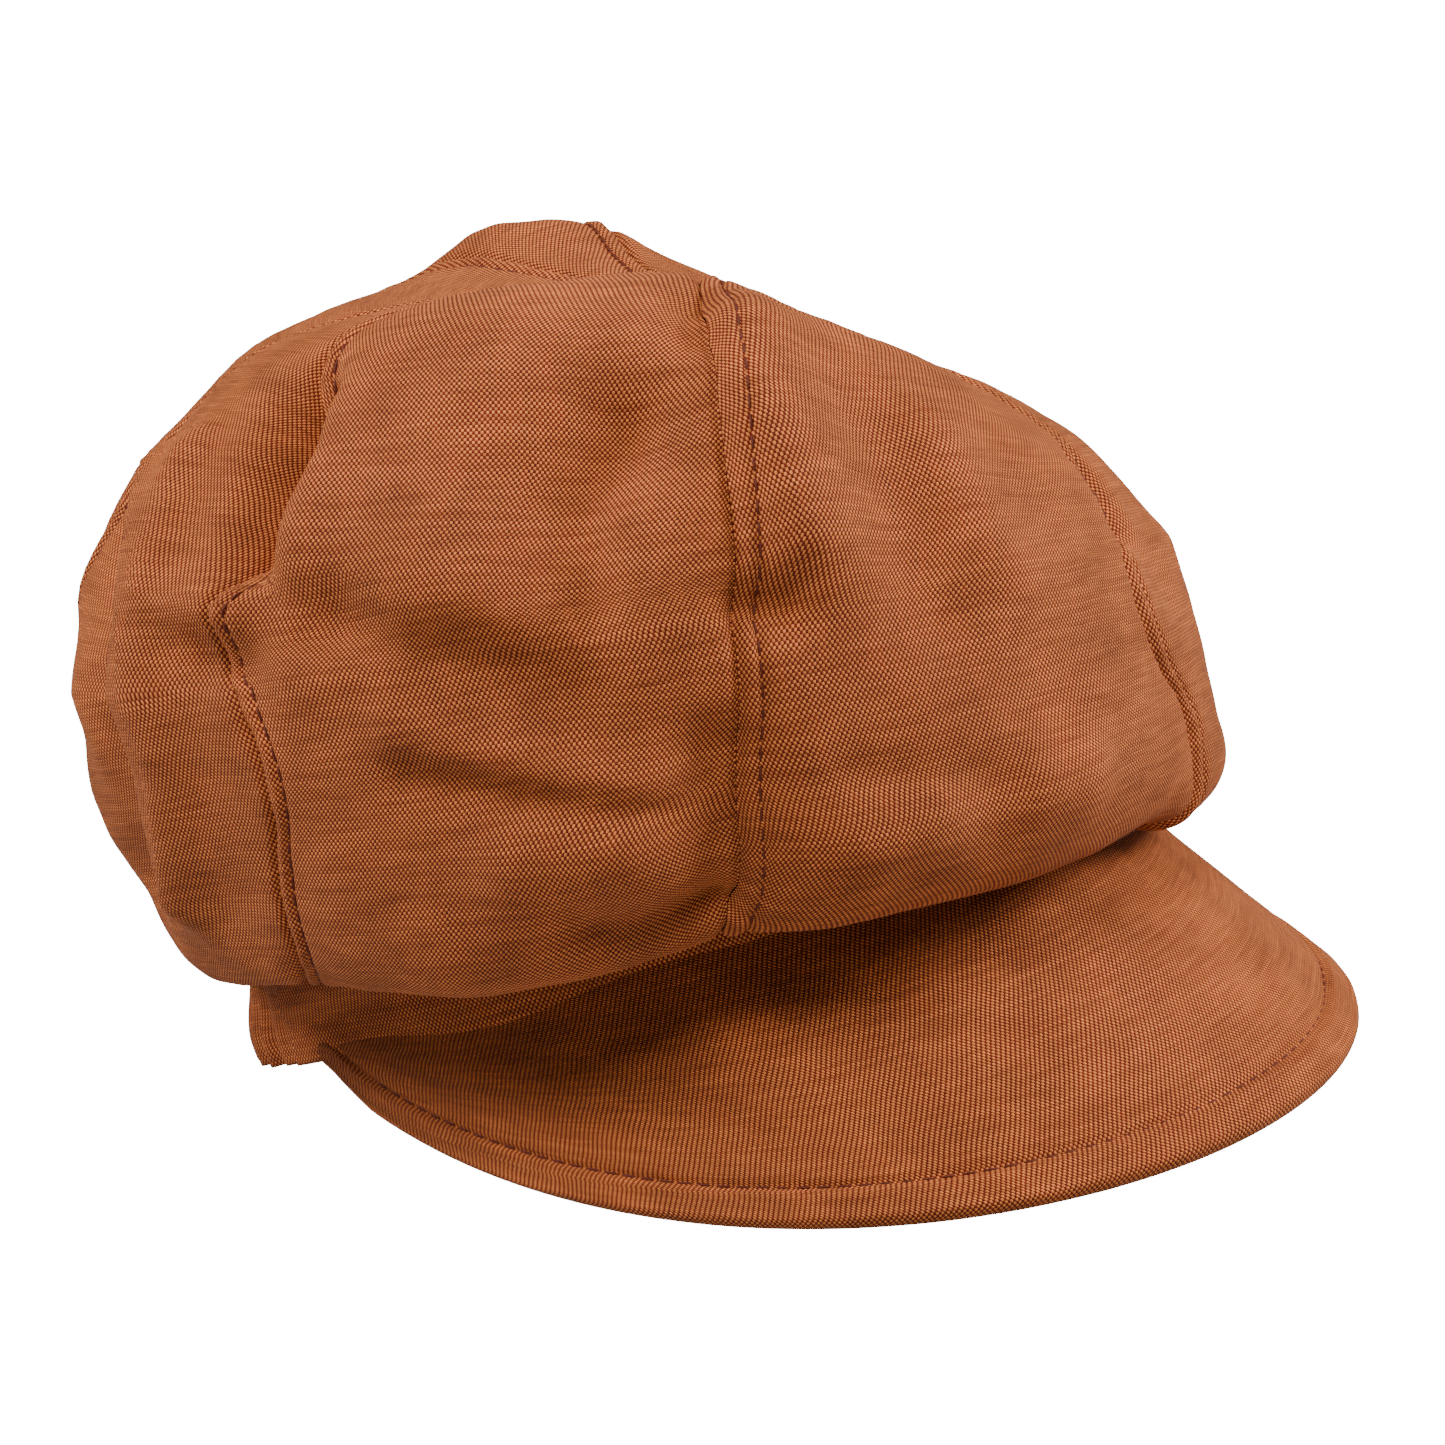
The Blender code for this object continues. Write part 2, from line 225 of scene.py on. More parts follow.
def make_weave_group():
    """Plain weave over a map in metres: warp threads run along V and weft threads along U."""
    tree = bpy.data.node_groups.new("plain_weave", 'ShaderNodeTree')
    for name, kind in (("Place", 'NodeSocketVector'), ("Warp Pitch", 'NodeSocketFloat'),
                       ("Weft Pitch", 'NodeSocketFloat'), ("Warp Colour", 'NodeSocketColor'),
                       ("Weft Colour", 'NodeSocketColor'), ("Slub", 'NodeSocketFloat')):
        tree.interface.new_socket(name=name, in_out='INPUT', socket_type=kind)
    tree.interface.new_socket(name="Colour", in_out='OUTPUT', socket_type='NodeSocketColor')
    tree.interface.new_socket(name="Height", in_out='OUTPUT', socket_type='NodeSocketFloat')
    source = tree.nodes.new('NodeGroupInput').outputs
    target = tree.nodes.new('NodeGroupOutput').inputs

    # Threads wander a little from straight
    wander = add_node(tree, 'ShaderNodeTexNoise', {"Vector": source["Place"], "Scale": 45.0, "Detail": 1.0},
                      noise_dimensions='2D')
    sway = add_node(tree, 'ShaderNodeVectorMath', {0: wander.outputs["Color"], 1: (0.5, 0.5, 0.5)},
                    operation='SUBTRACT')
    sway = add_node(tree, 'ShaderNodeVectorMath', {0: sway.outputs[0], "Scale": 0.0012}, operation='SCALE')
    place = add_node(tree, 'ShaderNodeVectorMath', {0: source["Place"], 1: sway.outputs[0]}, operation='ADD')
    split = add_node(tree, 'ShaderNodeSeparateXYZ', {0: place.outputs[0]})
    u = maths(tree, 'DIVIDE', split.outputs[0], source["Warp Pitch"])
    v = maths(tree, 'DIVIDE', split.outputs[1], source["Weft Pitch"])
    warp_index = maths(tree, 'FLOOR', u)
    weft_index = maths(tree, 'FLOOR', v)
    across_warp = maths(tree, 'SUBTRACT', maths(tree, 'FRACT', u), 0.5)
    across_weft = maths(tree, 'SUBTRACT', maths(tree, 'FRACT', v), 0.5)

    # Crossing by crossing, the other thread lies on top
    parity = maths(tree, 'FLOORED_MODULO', maths(tree, 'ADD', warp_index, weft_index), 2.0)
    sign = maths(tree, 'SUBTRACT', 1.0, maths(tree, 'MULTIPLY', parity, 2.0))
    round_warp = maths(tree, 'COSINE', maths(tree, 'MULTIPLY', across_warp, math.pi))
    round_weft = maths(tree, 'COSINE', maths(tree, 'MULTIPLY', across_weft, math.pi))
    warp_height = maths(tree, 'ADD', round_warp, maths(tree, 'MULTIPLY', sign, round_weft))
    weft_height = maths(tree, 'SUBTRACT', round_weft, maths(tree, 'MULTIPLY', sign, round_warp))
    height = maths(tree, 'MULTIPLY', maths(tree, 'MAXIMUM', warp_height, weft_height), 0.5)
    lead = maths(tree, 'SUBTRACT', weft_height, warp_height)
    dye = add_node(tree, 'ShaderNodeMapping', {"Vector": source["Place"], "Scale": (0.55, 1.0, 1.0)})
    dye = add_node(tree, 'ShaderNodeTexNoise', {"Vector": dye.outputs[0], "Scale": 150.0, "Detail": 5.0,
                                                "Roughness": 0.65}, noise_dimensions='2D')
    bias = maths(tree, 'MULTIPLY_ADD', dye.outputs["Fac"], 2.4, -0.70)
    weft_on_top = maths(tree, 'ADD', maths(tree, 'MULTIPLY', lead, 2.0), bias, clamp=True)

    # Each thread has its own tone, thick and thin along its length
    warp_line = add_node(tree, 'ShaderNodeCombineXYZ', {0: maths(tree, 'MULTIPLY', warp_index, 3.7),
                                                        1: maths(tree, 'MULTIPLY', v, 0.045)})
    weft_line = add_node(tree, 'ShaderNodeCombineXYZ', {0: maths(tree, 'MULTIPLY', u, 0.030),
                                                        1: maths(tree, 'MULTIPLY', weft_index, 4.3)})
    threads = []
    for line, colour in ((warp_line, "Warp Colour"), (weft_line, "Weft Colour")):
        grain = add_node(tree, 'ShaderNodeTexNoise', {"Vector": line.outputs[0], "Scale": 1.0, "Detail": 2.0,
                                                      "Roughness": 0.6}, noise_dimensions='2D')
        spread = maths(tree, 'SUBTRACT', grain.outputs["Fac"], 0.5)
        tone = maths(tree, 'ADD', 1.0, maths(tree, 'MULTIPLY', spread, source["Slub"]))
        threads.append(add_node(tree, 'ShaderNodeVectorMath', {0: source[colour], "Scale": tone},
                                operation='SCALE').outputs[0])
    thread = add_node(tree, 'ShaderNodeMix', {"Factor": weft_on_top, 6: threads[0], 7: threads[1]},
                      data_type='RGBA').outputs[2]

    # Painted shade in the low gaps between the threads, and uneven dye over a few centimetres
    painted_gap_shade = maths(tree, 'MULTIPLY', maths(tree, 'POWER', height, 0.8), 1.25, clamp=True)
    gap_shade_and_dye = maths(tree, 'ADD', maths(tree, 'MULTIPLY', painted_gap_shade, 0.72), 0.28)
    patch = add_node(tree, 'ShaderNodeTexNoise', {"Vector": source["Place"], "Scale": 55.0, "Detail": 4.0,
                                                  "Roughness": 0.62}, noise_dimensions='2D')
    patch = maths(tree, 'ADD', 0.62, maths(tree, 'MULTIPLY', patch.outputs["Fac"], 0.76))
    # The painted gap shade and the uneven dye together scale the thread colour
    gap_shade_and_dye = maths(tree, 'MULTIPLY', gap_shade_and_dye, patch)
    colour = add_node(tree, 'ShaderNodeVectorMath', {0: thread, "Scale": gap_shade_and_dye}, operation='SCALE')
    tree.links.new(colour.outputs[0], target["Colour"])
    tree.links.new(height, target["Height"])
    return tree


weave_group = make_weave_group()


def make_cloth(name, warp_pitch, weft_pitch, warp_colour, weft_colour, slub, bump, sheen):
    """Woven cloth: the weave group gives colour and relief, the shader a soft fuzzy sheen."""
    material = bpy.data.materials.new(name)
    material.use_nodes = True
    tree = material.node_tree
    shader = tree.nodes["Principled BSDF"]
    place = add_node(tree, 'ShaderNodeUVMap', {}, uv_map="weave")
    weave = add_node(tree, 'ShaderNodeGroup', {}, node_tree=weave_group)
    tree.links.new(place.outputs[0], weave.inputs["Place"])
    for key, value in {"Warp Pitch": warp_pitch, "Weft Pitch": weft_pitch, "Warp Colour": (*warp_colour, 1),
                       "Weft Colour": (*weft_colour, 1), "Slub": slub}.items():
        weave.inputs[key].default_value = value
    relief = add_node(tree, 'ShaderNodeBump', {"Height": weave.outputs["Height"], "Strength": 1.0,
                                               "Distance": bump})
    tree.links.new(weave.outputs["Colour"], shader.inputs["Base Color"])
    tree.links.new(relief.outputs[0], shader.inputs["Normal"])
    shader.inputs["Roughness"].default_value = 0.88
    shader.inputs["Specular IOR Level"].default_value = 0.15
    shader.inputs["Sheen Weight"].default_value = sheen
    shader.inputs["Sheen Roughness"].default_value = 0.45
    shader.inputs["Sheen Tint"].default_value = (1.0, 0.70, 0.45, 1)
    return material


linen = make_cloth("rust_linen", 0.00048, 0.00060, (0.098, 0.0080, 0.0020), (0.490, 0.140, 0.034), 1.1,
                   0.00014, 0.03)
lining_cotton = make_cloth("lining_cotton", 0.00034, 0.00036, (0.30, 0.185, 0.115), (0.34, 0.215, 0.135), 0.3,
                           0.00006, 0.0)
ribbon_cloth = make_cloth("sweatband_ribbon", 0.00120, 0.00030, (0.060, 0.018, 0.010), (0.075, 0.024, 0.013),
                          0.3, 0.00020, 0.0)
elastic_cloth = make_cloth("elastic", 0.00090, 0.00050, (0.42, 0.40, 0.37), (0.50, 0.48, 0.44), 0.3,
                           0.00015, 0.0)


def make_plain(name, colour, roughness):
    material = bpy.data.materials.new(name)
    material.use_nodes = True
    shader = material.node_tree.nodes["Principled BSDF"]
    shader.inputs["Base Color"].default_value = (*colour, 1)
    shader.inputs["Roughness"].default_value = roughness
    shader.inputs["Specular IOR Level"].default_value = 0.25
    return material


thread = make_plain("sewing_thread", (0.080, 0.0100, 0.0020), 0.7)
board = make_plain("brim_board", (0.42, 0.41, 0.37), 0.5)
frame["nodes"]["brim_board"].data.materials.clear()
frame["nodes"]["brim_board"].data.materials.append(board)

# ---------------------------------------------------------------------------------------------
# Head band: a linen strip in two half ellipses. The elastic inside its back draws that part into
# gathers, and the slack crown pulls the strip into long folds along the sides.
BAND_HALF_WIDTH = 0.083
BAND_FRONT_LENGTH = 0.101
BAND_BACK_LENGTH = 0.078
BAND_HEIGHT = 0.030
BAND_SPLIT = math.radians(104)


def band_point(azimuth, depth, height):
    """Points of the band, depth metres inside its face and height above its lower rim."""
    azimuth, depth, height = np.broadcast_arrays(azimuth, depth, height)
    length = np.where(np.cos(azimuth) > 0, BAND_FRONT_LENGTH, BAND_BACK_LENGTH)
    return np.stack([(BAND_HALF_WIDTH - depth) * np.sin(azimuth), -(length - depth) * np.cos(azimuth),
                     height + 0.0 * azimuth], -1)


def behind_brim(azimuth):
    """1 just behind the two ends of the brim, fading to 0 round the head."""
    side = np.abs((azimuth + math.pi) % (2 * math.pi) - math.pi)
    return bell(side - math.radians(132), math.radians(24))


def pulled_in(azimuth, height):
    """How far the elastic draws the band's upper part inwards behind the ends of the brim."""
    return 0.0045 * behind_brim(azimuth) * smooth(1.5 * height / BAND_HEIGHT)


def band_cloth(first, last, columns, rows, relief):
    """The band's outer cloth between two azimuths; its lower rim sags behind the brim's ends."""
    azimuth = np.linspace(first, last, columns + 1)[:, None]
    share = np.linspace(0, 1, rows + 1)[None, :]
    height = BAND_HEIGHT + 0.002 - (BAND_HEIGHT + 0.0025 + 0.0025 * behind_brim(azimuth)) * share
    return band_point(azimuth, pulled_in(azimuth, height) - relief(azimuth, height), height)


def front_relief(azimuth, height):
    up = height / BAND_HEIGHT
    side = np.abs(azimuth) / BAND_SPLIT
    slant = height - 0.020 + 0.016 * (side - 0.45)
    fold = 0.0010 * bell(slant, 0.0035) - 0.0008 * bell(slant + 0.0055, 0.0030)
    swell = 0.0006 * np.sin(azimuth * 9 + up * 2.0) * smooth(side * 2)
    return (fold * smooth((side - 0.2) * 3) + swell + 0.0008 * smooth((side - 0.8) * 5) * (1 - up))


def back_relief(azimuth, height):
    gathered = smooth((math.pi - BAND_SPLIT - np.abs(azimuth - math.pi)) * 6)
    pleats = 0.5 + 0.5 * np.sin(azimuth * 52 + 1.5 * np.sin(azimuth * 7) + 30 * height)
    ends = 0.55 + 0.45 * np.cos(height / BAND_HEIGHT * 2 * math.pi)
    return gathered * (0.0019 * pleats * (0.4 + 0.6 * ends) - 0.0005)


front = laid_cloth("band_front_cloth", band_cloth(-BAND_SPLIT, BAND_SPLIT, 360, 40, front_relief), (0.9, 0.0))
piece = add_piece("band_front_cloth", front, linen, "band_front")
thicken(piece, CLOTH_THICKNESS)
rear = laid_cloth("band_back_cloth", band_cloth(BAND_SPLIT, 2 * math.pi - BAND_SPLIT, 420, 40, back_relief),
                  (1.7, 0.0))
piece = add_piece("band_back_cloth", rear, linen, "band_back")
thicken(piece, CLOTH_THICKNESS)

# ---------------------------------------------------------------------------------------------
# Crown: eight gores of linen sewn edge to edge, gathered into the top of the band. The cloth is
# slack: it stands in a peak over the dimple, slumps over the brim, and its seams wander.
PANEL_PLACES = ("front_right", "right_front", "right_back", "back_right",
                "back_left", "left_back", "left_front", "front_left")
PANEL_ANGLE = 2 * math.pi / len(PANEL_PLACES)
CROWN_HALF_WIDTH = 0.111
CROWN_HALF_LENGTH = 0.113
CROWN_FORWARD = 0.024
CROWN_SLEW = math.radians(4.5)
DIMPLE = (0.0, -0.0715, 0.111)
DIMPLE_RADIUS = 0.0012
CROWN_EDGE = 0.0018                 # the crown's sewn edge, outside the band
SLOPE_STEP = 0.004                  # short way on a surface, to find which way it faces
DOME_END = math.pi / 2              # turn at the widest line; the dimple is at 0
HEM_END = 3 * math.pi / 2           # turn at the top of the band


def wave(azimuth, mean, front, left, diagonal=0.0):
    """A size that changes smoothly round the head."""
    return mean + front * np.cos(azimuth) + left * np.sin(azimuth) + diagonal * np.sin(2 * azimuth)


def crown_form(azimuth, turn):
    """The slumped crown without its seams and folds: a dome from the dimple to the widest line, and
    under it the cloth's fold, down to its lowest line and up again to the band."""
    azimuth, turn = np.broadcast_arrays(azimuth, turn)
    azimuth = azimuth + CROWN_SLEW * (1 - np.maximum(0, turn - DOME_END) / math.pi)
    lobe = wave(azimuth, 0, 0, 0, -0.0055)
    side_x = (CROWN_HALF_WIDTH + lobe) * np.sin(azimuth)
    side_y = -CROWN_FORWARD - (CROWN_HALF_LENGTH + lobe) * np.cos(azimuth)
    side_z = wave(azimuth, 0.058, -0.012, -0.019)

    dome = np.minimum(turn, DOME_END)
    power = wave(azimuth, 1.50, -0.10, 0.16)
    out = np.sin(dome) ** power
    drop = np.clip(np.cos(dome), 0, 1) ** power
    puff = wave(azimuth, 0.020, -0.017, -0.008, -0.007) * np.sin(2 * dome) ** 2
    centre_y = -CROWN_FORWARD + (DIMPLE[1] + CROWN_FORWARD) * np.cos(dome) ** 2
    upper = np.stack([DIMPLE[0] * np.cos(dome) ** 2 + side_x * out,
                      centre_y + (side_y + CROWN_FORWARD) * out,
                      side_z + (DIMPLE[2] - side_z) * drop + puff], -1)

    fold = np.maximum(turn - DOME_END, 0)
    seam = band_point(azimuth, -CROWN_EDGE, BAND_HEIGHT)
    lowest = wave(azimuth, 0.011, -0.016, -0.007)
    fall = np.where(fold < math.pi / 2, side_z, BAND_HEIGHT) - lowest
    radius = np.minimum(0.5 * np.hypot(side_x - seam[..., 0], side_y - seam[..., 1]), fall)
    lift = 1 - np.sin(fold)
    share = 0.5 + 0.5 * np.cos(fold)
    lower = np.stack([seam[..., 0] + (side_x - seam[..., 0]) * share,
                      seam[..., 1] + (side_y - seam[..., 1]) * share,
                      lowest + radius * lift + (fall - radius) * lift ** 1.6], -1)
    return np.where((turn <= DOME_END)[..., None], upper, lower)


def crown_normal(azimuth, turn):
    before = np.maximum(turn - SLOPE_STEP, 1e-4)
    along = crown_form(azimuth, turn + SLOPE_STEP) - crown_form(azimuth, before)
    across = crown_form(azimuth + SLOPE_STEP, turn) - crown_form(azimuth - SLOPE_STEP, turn)
    normal = np.cross(along, across)
    return normal / np.maximum(np.linalg.norm(normal, axis=-1, keepdims=True), 1e-12)


# How far each seam has drifted from its even place, in degrees, at turns in degrees
SEAM_DRIFTS = {
    0: ((0, 0), (48, 9), (66, 12), (92, 4), (105, 4), (124, 11), (160, 13), (270, 0)),
    1: ((0, 0), (47, 5.5), (75, 4.5), (100, 1.5), (115, -1), (158, -3), (270, 0)),
    2: ((0, 0), (41, -7), (48, -8), (57, 0), (70, 2), (79, -1.5), (91, 1), (102, 2.5), (119, -2),
        (151, -3.5), (270, 0)),
    3: ((0, 0), (50, 3), (85, -2), (120, 1), (270, 0)),
    4: ((0, 0), (50, -3), (90, 2), (130, -2), (270, 0)),
    5: ((0, 0), (50, 2), (95, -3), (130, 1), (270, 0)),
    6: ((0, 0), (50, -2), (85, 3), (130, -1), (270, 0)),
    7: ((0, 0), (50, 4), (85, 0), (120, 2), (270, 0)),
}


def seam_azimuth(seam, turn):
    """Seam 0 is the centre front, and the others follow round by the wearer's right."""
    places, drifts = zip(*SEAM_DRIFTS[seam % len(PANEL_PLACES)])
    soft = sum(np.interp(np.degrees(turn) + shift, places, drifts) for shift in (-6, -3, 0, 3, 6)) / 5
    return -PANEL_ANGLE * seam + np.radians(soft)


# Folds of the slack cloth. Each is a height in mm, outwards if positive, the fall-off in mm on the
# two sides of its line, and the line itself by azimuth and turn in degrees. The first side is above
# a line that runs towards the wearer's left, and on the wearer's left of a line that runs down.
FOLDS = (
    # Broad slumps: a peak behind the dimple, and the slack drawn off the wearer's left side
    (6.0, 13, 13, ((160, 33), (142, 30))),
    (-4.0, 14, 14, ((100, 18), (40, 26), (-20, 34))),
    (-8.5, 15, 15, ((38, 74), (36, 108))),
    (-2.5, 12, 12, ((16, 78), (12, 92))),
    (5.0, 10, 10, ((26, 162), (14, 176))),
    (2.5, 10, 10, ((-134, 60), (-134, 70))),
    (-2.0, 9, 9, ((-134, 84), (-132, 90))),
    (2.5, 10, 10, ((-131, 105), (-130, 113))),
    # The wearer's right: a deep pit on the seam, the roll round it, and the fold behind it
    (-11.0, 7, 7, ((-92, 52), (-89, 59))),
    (-8.0, 7, 6, ((-88, 62), (-88, 69))),
    (4.0, 5, 7, ((-106, 58), (-101, 68))),
    (1.5, 6, 5, ((-82, 62), (-80, 72))),
    (5.0, 7, 4.5, ((-99, 73), (-94, 74), (-88, 75))),
    (-3.5, 6, 8, ((-92, 82), (-87, 84))),
    (5.0, 8, 4, ((-114, 60), (-106, 68), (-102, 80), (-102, 98), (-108, 122))),
    (-5.0, 6, 9, ((-124, 64), (-115, 78), (-114, 100), (-120, 122))),
    # A long step across the front right gore, with creases under it
    (4.8, 17, 5.5, ((-79, 70), (-74, 72), (-68, 76), (-62, 79), (-57, 82))),
    (-3.5, 6, 11, ((-76, 78), (-71, 84), (-64, 92), (-58, 96))),
    (-0.9, 2.5, 2.2, ((-68, 81), (-62, 83), (-57, 86))),
    (-0.7, 2.5, 2.2, ((-68, 86), (-62, 90), (-58, 93))),
    (1.8, 6, 3, ((-73, 98), (-66, 102), (-59, 107), (-52, 111))),
    (-1.6, 3, 5, ((-73, 103), (-66, 107), (-60, 111), (-53, 114))),
    (4.0, 8, 10, ((-65, 119), (-57, 119))),
    # Beside the facing seam: a hollow before it, the tent behind it, and its slack lower end
    (-9.0, 9, 13, ((-49, 60), (-54, 68), (-55, 80))),
    (7.0, 13, 6, ((-37, 48), (-36, 62), (-35, 75))),
    (-3.5, 4, 5, ((-41, 84), (-38, 86))),
    (-4.0, 5, 5, ((-41, 43), (-40, 49))),
    (-6.0, 9, 9, ((-47, 108), (-48, 130), (-50, 150))),
    (-4.0, 7, 7, ((-60, 142), (-50, 146))),
    # The front left gore: a shallow hollow, and swells along its hem
    (-3.0, 9, 9, ((-24, 64), (-26, 90))),
    (3.0, 10, 10, ((-17, 66), (-16, 86))),
    (3.5, 8, 8, ((-18, 126), (-13, 128))),
    (3.5, 7, 8, ((-36, 130), (-30, 128))),
    (-0.9, 3, 4, ((-36, 114), (-29, 118), (-22, 121))),
    (-4.0, 5, 7, ((11, 68), (9, 78))),
)


def fold_relief(points):
    """Height of all folds at points on the crown's form."""
    total = np.zeros(points.shape[:-1])
    for height, before, after, line in FOLDS:
        azimuths, turns = np.radians(np.array(line, float)).T
        share = np.linspace(0, 1, 40)
        knots = np.linspace(0, 1, len(line))
        azimuth = np.interp(share, knots, azimuths)
        turn = np.interp(share, knots, turns)
        track = crown_form(azimuth, turn)
        normals = crown_normal(azimuth, turn)
        away = points[..., None, :] - track
        nearest = np.argmin(np.sum(away ** 2, -1), axis=-1)
        offset = np.take_along_axis(away, nearest[..., None, None], axis=-2)[..., 0, :]
        forward = np.gradient(track, axis=0)
        sideways = np.cross(normals, forward)
        sideways = (sideways / np.linalg.norm(sideways, axis=-1, keepdims=True))[nearest]
        distance = np.linalg.norm(offset, axis=-1)
        lean = 0.5 + 0.5 * np.sum(offset * sideways, -1) / np.maximum(distance, 1e-9)
        total += height / 1000 * bell(distance, (after + (before - after) * lean) / 1000)
    return total


SEAM_DITCH = 0.0011
SEAM_DITCH_WIDTH = 0.0011
STITCH_OFFSET = 0.0040              # topstitching, on the panel at the seam's left side of the head
STITCH_DIP = 0.0009
PANEL_PUFF = 0.0015
PANEL_STEP = 0.01                   # radians of azimuth, to measure a panel across


def panel_shape(index, across, turn):
    """Points of one panel; across is a column of shares from 0 at its right seam, seen by the
    wearer, to 1 at its left seam."""
    right, left = seam_azimuth(index + 1, turn), seam_azimuth(index, turn)
    azimuth = right + (left - right) * across
    form = crown_form(azimuth, turn)
    normal = crown_normal(azimuth, turn)
    stride = crown_form(azimuth + PANEL_STEP, turn) - crown_form(azimuth - PANEL_STEP, turn)
    scale = np.linalg.norm(stride, axis=-1) / (2 * PANEL_STEP)
    before = (azimuth - right) * scale
    after = (left - azimuth) * scale
    width = before + after
    hanging = smooth((HEM_END - turn) / 0.5)

    puff = PANEL_PUFF * np.minimum(1, width / 0.06) * np.sin(math.pi * across) ** 0.8 * hanging
    ditch = SEAM_DITCH * (bell(before, SEAM_DITCH_WIDTH) + bell(after, SEAM_DITCH_WIDTH))
    raised = 0.0004 * smooth((STITCH_OFFSET + 0.0004 - before) / 0.0010)
    stitched = STITCH_DIP * bell(before - STITCH_OFFSET, 0.0008)
    pull = 0.0006 * (np.exp(-before / 0.010) + np.exp(-after / 0.008)) * rumple(form, 170, 5)
    slack = (0.0016 * rumple(form, 26, 1) + 0.0007 * rumple(form, 60, 2) + 0.0002 * rumple(form, 140, 3))
    relief = puff + raised - ditch - stitched + pull * smooth(width / 0.02)
    relief += (slack + fold_relief(form)) * hanging * smooth(width / 0.03)
    return form + normal * relief[..., None], normal


PANEL_COLUMNS = 80
PANEL_ROWS = 160
crowded = (0.5 - 0.5 * np.cos(math.pi * np.linspace(0, 1, PANEL_COLUMNS + 1)))[:, None]
first_turn = math.asin((DIMPLE_RADIUS / CROWN_HALF_WIDTH) ** (1 / 1.5))
turns = np.linspace(first_turn, HEM_END, PANEL_ROWS + 1)[None, :]
for index, place in enumerate(PANEL_PLACES):
    points, normal = panel_shape(index, crowded, turns)
    data = laid_cloth("crown_" + place, points, (0.31 * index, 0.17 * index))
    piece = add_piece("crown_" + place, data, linen, "crown_panel_" + place)
    thicken(piece, CLOTH_THICKNESS)


# ---------------------------------------------------------------------------------------------
# Stitching: single bent stitches of red thread, each dipping into the cloth at its two ends. The
# rows follow the seams of the crown, on the gore at the wearer's left of each seam.
STITCH_PITCH = 0.0037
STITCH_LENGTH = 0.0029
THREAD_RADIUS = 0.00027


def stitch_row(name, path, normals, replaced):
    """Stitches spaced along a path on the cloth."""
    lengths = np.concatenate([[0], np.cumsum(np.linalg.norm(np.diff(path, axis=0), axis=1))])
    curve = bpy.data.curves.new(name, 'CURVE')
    curve.dimensions = '3D'
    curve.bevel_depth = THREAD_RADIUS
    curve.bevel_resolution = 1
    curve.use_fill_caps = True
    for start in np.arange(0, lengths[-1] - STITCH_LENGTH, STITCH_PITCH):
        spots = start + STITCH_LENGTH * np.array([0, 0.14, 0.5, 0.86, 1])
        lift = THREAD_RADIUS * np.array([-1.6, 0.3, 0.75, 0.3, -1.6])
        spline = curve.splines.new('POLY')
        spline.points.add(len(spots) - 1)
        for point, spot, height in zip(spline.points, spots, lift):
            place = [np.interp(spot, lengths, path[:, axis]) for axis in range(3)]
            out = [np.interp(spot, lengths, normals[:, axis]) for axis in range(3)]
            point.co = (*(cap_matrix @ (Vector(place) + Vector(out) * height)), 1)
    add_piece(name, curve, thread, replaced)


FIRST_STITCH = math.radians(14)
LAST_STITCH = math.radians(235)
stitch_turns = np.linspace(FIRST_STITCH, LAST_STITCH, 400)[None, :]
for seam in range(len(PANEL_PLACES)):
    index = (seam - 1) % len(PANEL_PLACES)
    span = seam_azimuth(index, stitch_turns) - seam_azimuth(index + 1, stitch_turns)
    right_seam = seam_azimuth(index + 1, stitch_turns)
    stride = crown_form(right_seam + PANEL_STEP, stitch_turns) - crown_form(right_seam, stitch_turns)
    reach = np.linalg.norm(stride, axis=-1) / PANEL_STEP
    share = np.minimum(STITCH_OFFSET / (reach * span), 0.5)
    path, normals = panel_shape(index, share, stitch_turns)
    stitch_row(f"crown_stitches_{seam + 1}", path[0], normals[0], f"crown_topstitch_{seam + 1}")

# ---------------------------------------------------------------------------------------------
# Brim: a developable shell ruled from a point low behind the head, covered in linen above and
# below over a board, with the two covers turned in and topstitched round the edge.
BRIM_DEPTH = 0.074
BRIM_END = math.radians(98)
BRIM_DROOP = math.radians(53)
BRIM_APEX_BACK = 0.070
BRIM_FULLNESS = 2.03
BRIM_TAPER = 0.97
BRIM_THICKNESS = 0.0040
BRIM_STITCH_OFFSET = 0.0085
BRIM_TUCK = 0.003                   # cloth sewn in behind the band's lower rim
BRIM_ROLL_START = 0.86              # share of a cover's rows at which it starts round the edge


def brim_surface(share, reach):
    """The brim's upper face; share runs from ear to ear, -1 to 1, and reach is in metres from the
    band's seam along the ruling."""
    share, reach = np.broadcast_arrays(share, reach)
    root = band_point(BRIM_END * share, -0.0004, 0.0)
    apex = np.array([0, BRIM_APEX_BACK, (BAND_FRONT_LENGTH + BRIM_APEX_BACK) * math.tan(BRIM_DROOP)])
    ruling = root - apex
    ruling = ruling / np.linalg.norm(ruling, axis=-1, keepdims=True)
    return root + ruling * reach[..., None]


def brim_normal(share, reach):
    across = brim_surface(share + SLOPE_STEP, reach) - brim_surface(share - SLOPE_STEP, reach)
    along = brim_surface(share, reach + SLOPE_STEP) - brim_surface(share, reach - SLOPE_STEP)
    normal = np.cross(along, across)
    return normal / np.linalg.norm(normal, axis=-1, keepdims=True)


def brim_width(share):
    return BRIM_DEPTH * np.maximum(1 - np.abs(share) ** BRIM_FULLNESS, 0) ** BRIM_TAPER


def brim_relief(share, reach):
    """The seam allowance fills the rim; the stitching draws the covers onto it."""
    inside = brim_width(share) - reach
    rim = 0.0005 * smooth((BRIM_STITCH_OFFSET - inside) / 0.0012)
    dip = 0.0009 * bell(inside - BRIM_STITCH_OFFSET, 0.0008)
    soft = 0.00025 * rumple(brim_surface(share, reach), 90, 7)
    return rim - dip + soft * smooth(reach / 0.01)


